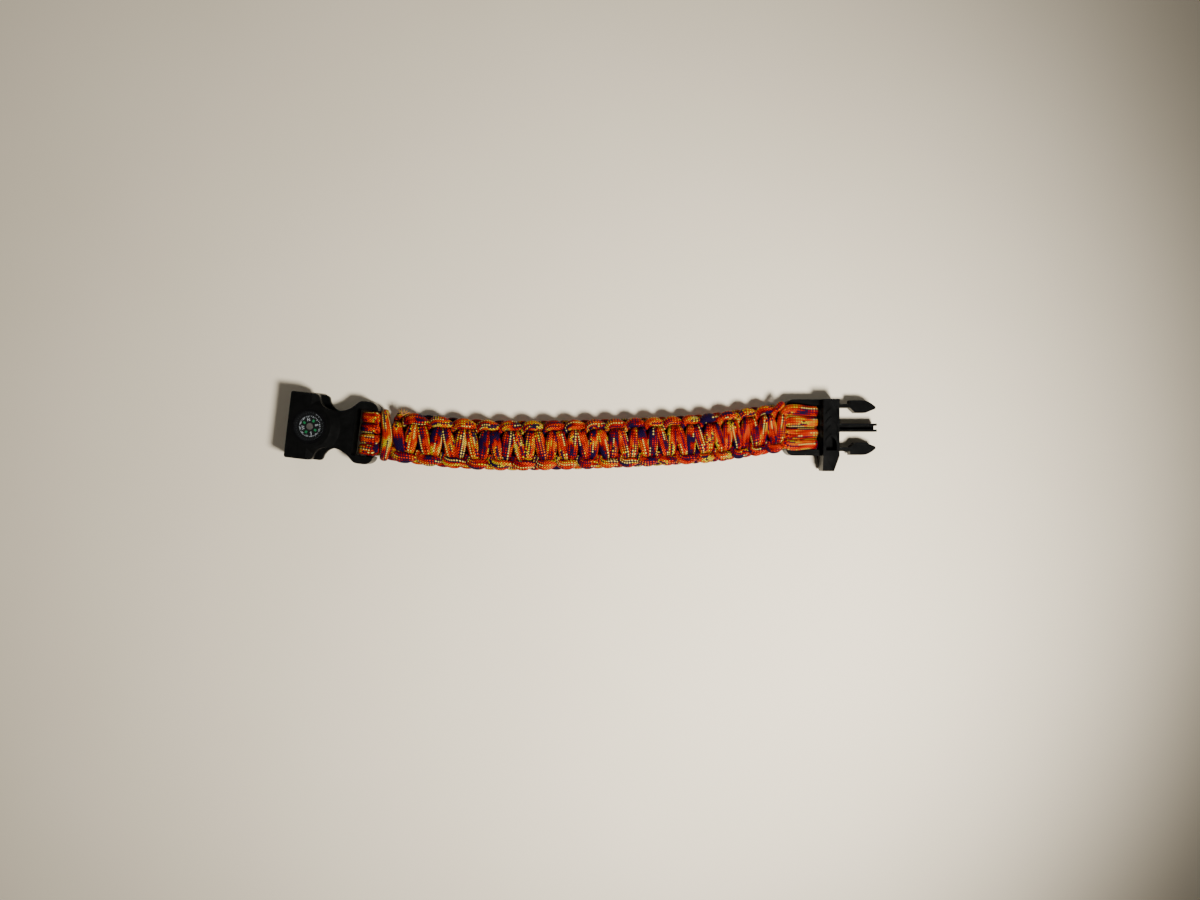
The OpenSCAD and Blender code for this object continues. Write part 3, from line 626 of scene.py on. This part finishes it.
def dress(node, material, bevel):
    piece = nodes[node]
    piece.data.materials.clear()
    piece.data.materials.append(material)
    weld = piece.modifiers.new("weld", "WELD")
    weld.merge_threshold = WELD_L * MM
    edge = piece.modifiers.new("edges", "BEVEL")
    edge.width = bevel * MM
    edge.segments = BEVEL_SEGMENTS
    edge.limit_method = "ANGLE"
    edge.angle_limit = math.radians(BEVEL_FROM_DEGREES)


dress("socket_body", buckle_black, 0.12)
dress("plug_body", buckle_black, 0.12)
dress("compass_housing", capsule_black, 0.08)
dress("compass_card", card_black, 0.03)
dress("compass_lens", lens_clear, 0.08)


# Compass marks: letters, ticks and squares as thin printed shapes

MARK_T = 0.02
LETTER_BOLDNESS = 0.02
COMPASS_X = 8.4
CARD_TOP, RING_TOP, HUB_TOP = 9.35, 9.50, 9.70
DIAL_TURN = -10.0
LETTER_R, LETTER_SIZE = 2.65, 1.6
NUMBER_R, NUMBER_SIZE = 3.85, 0.85
TICK_R, TICK_W, TICK_L = 4.05, 0.13, 0.45
SQUARE_R, SQUARE_W, SQUARE_L = 2.6, 0.85, 1.0
RING_MARK_W = 0.11
# Radius and length of the fixed ring's marks: every third one is long
RING_LONG, RING_SHORT = (5.28, 0.6), (5.4, 0.35)


def mark_piece(name, parts, material, body):
    """One piece from (vertices, faces) parts, already in the world frame"""
    verts, faces = [], []
    for v, f in parts:
        base = len(verts)
        verts += v
        faces += [tuple(base + i for i in face) for face in f]
    return add_piece(name, build_mesh(name, verts, faces, smooth=False), material, body)


def letters(text, size, matrix):
    """(vertices, faces) of a word, centred on the matrix's place, in metres"""
    curve = bpy.data.curves.new("word", "FONT")
    curve.body = text
    curve.size = size * MM
    curve.align_x = "CENTER"
    curve.align_y = "CENTER"
    curve.extrude = MARK_T * MM / 2
    curve.offset = LETTER_BOLDNESS * MM
    curve.resolution_u = 3
    temp = bpy.data.objects.new("word", curve)
    bpy.context.scene.collection.objects.link(temp)
    bpy.context.view_layer.update()
    mesh = temp.to_mesh()
    verts = [tuple(matrix @ v.co) for v in mesh.vertices]
    faces = [tuple(p.vertices) for p in mesh.polygons]
    temp.to_mesh_clear()
    bpy.data.objects.remove(temp)
    bpy.data.curves.remove(curve)
    return verts, faces


def slab(w, l, matrix):
    """(vertices, faces) of a flat mark, w by l millimetres"""
    corners = ((-1, -1), (1, -1), (1, 1), (-1, 1))
    v = [(x * w / 2 * MM, y * l / 2 * MM, z * MARK_T * MM) for z in (0, 1) for x, y in corners]
    f = [(3, 2, 1, 0), (4, 5, 6, 7), (0, 1, 5, 4), (1, 2, 6, 5), (2, 3, 7, 6), (3, 0, 4, 7)]
    return [tuple(matrix @ Vector(p)) for p in v], f


def on_dial(r, degrees, z, turn=0.0):
    """Matrix of a mark at a radius and a bearing, its top pointing outwards"""
    a = math.radians(degrees + turn)
    return (socket_matrix(COMPASS_X, 0, z) @ Matrix.Rotation(-a - SOCKET_HEADING, 4, "Z")
            @ Matrix.Translation(Vector((0, r * MM, 0))))


def on_card(r, degrees):
    return on_dial(r, degrees, CARD_TOP, DIAL_TURN)


card_marks = [letters(letter, LETTER_SIZE, on_card(LETTER_R, 90 * n)) for n, letter in enumerate("NESW")]
card_marks += [letters(str(n * 3), NUMBER_SIZE, on_card(NUMBER_R, 30 * n)) for n in range(12)]
card_marks += [slab(TICK_W, TICK_L, on_card(TICK_R, 10 * n)) for n in range(36) if n % 3]
mark_piece("compass_card_marks", card_marks, mark_white, "compass_card")
squares = [slab(SQUARE_W, SQUARE_L, on_card(SQUARE_R, 45 + 90 * n)) for n in range(4)]
mark_piece("compass_card_squares", squares, mark_green, "compass_card")
# The fixed ring's marks are worn away but for the side nearest the band
for name, material, first, last, step in (("compass_ring_marks", mark_white, 6, 33, 1),
                                          ("compass_ring_marks_worn", mark_dim, 33, 78, 2)):
    ring_marks = []
    for n in range(first, last, step):
        mark_r, mark_l = RING_SHORT if n % 3 else RING_LONG
        ring_marks.append(slab(RING_MARK_W, mark_l, on_dial(mark_r, 5 * n, RING_TOP)))
    mark_piece(name, ring_marks, material, "bracelet")

# Low round cap over the pivot, sunk a hair into the card's hub
CAP_R, CAP_H, CAP_SUNK = 1.32, 0.16, 0.01
CAP_ROWS, CAP_SIDES = 6, 40


def cap_piece(name, matrix, material, body):
    verts, faces = [tuple(matrix @ Vector((0, 0, CAP_H * MM)))], []
    for i in range(1, CAP_ROWS + 1):
        a = math.pi / 2 * i / CAP_ROWS
        wide, high = CAP_R * MM * math.sin(a), CAP_H * MM * math.cos(a)
        for j in range(CAP_SIDES):
            b = 2 * math.pi * j / CAP_SIDES
            verts.append(tuple(matrix @ Vector((wide * math.cos(b), wide * math.sin(b), high))))
    for j in range(CAP_SIDES):
        k = (j + 1) % CAP_SIDES
        faces.append((0, 1 + j, 1 + k))
        for i in range(CAP_ROWS - 1):
            a = 1 + i * CAP_SIDES
            faces.append((a + j, a + CAP_SIDES + j, a + CAP_SIDES + k, a + k))
    return add_piece(name, build_mesh(name, verts, faces), material, body)


cap_piece("compass_hub_cap", socket_matrix(COMPASS_X, 0, HUB_TOP - CAP_SUNK), pin_grey, "compass_card")


# Floor and light

FLOOR_HALF = 2.5
FLOOR_DROP = 0.02
corners = [(-FLOOR_HALF, -FLOOR_HALF, 0), (FLOOR_HALF, -FLOOR_HALF, 0), (FLOOR_HALF, FLOOR_HALF, 0),
           (-FLOOR_HALF, FLOOR_HALF, 0)]
floor_mesh = build_mesh("floor", corners, [(0, 1, 2, 3)], smooth=False)
floor = bpy.data.objects.new("floor", floor_mesh)
floor.location = (0, 0, -FLOOR_DROP * MM)
floor_mesh.materials.append(floor_material())
bpy.context.scene.collection.objects.link(floor)


def aim_light(light, place, target):
    lamp = bpy.data.objects.new(light.name, light)
    lamp.location = place
    lamp.rotation_euler = (Vector(target) - Vector(place)).to_track_quat("-Z", "Y").to_euler()
    bpy.context.scene.collection.objects.link(lamp)


key = bpy.data.lights.new("key", "SPOT")
key.energy = 14.2
key.color = (1.0, 0.955, 0.885)
key.shadow_soft_size = 0.042
key.spot_size = math.radians(98)
key.spot_blend = 1.0
aim_light(key, (0.170, -0.135, 0.328), (-0.015, -0.03, 0))

soft = bpy.data.lights.new("soft", "AREA")
soft.shape = "DISK"
soft.size = 0.8
soft.energy = 1.6
soft.color = (1.0, 0.97, 0.92)
aim_light(soft, (-0.1, 0.95, 0.7), (0, 0, 0))

world = bpy.data.worlds.new("world")
world.use_nodes = True
background = world.node_tree.nodes["Background"]
background.inputs["Color"].default_value = (1.0, 0.95, 0.88, 1.0)
background.inputs["Strength"].default_value = 0.07
bpy.context.scene.world = world
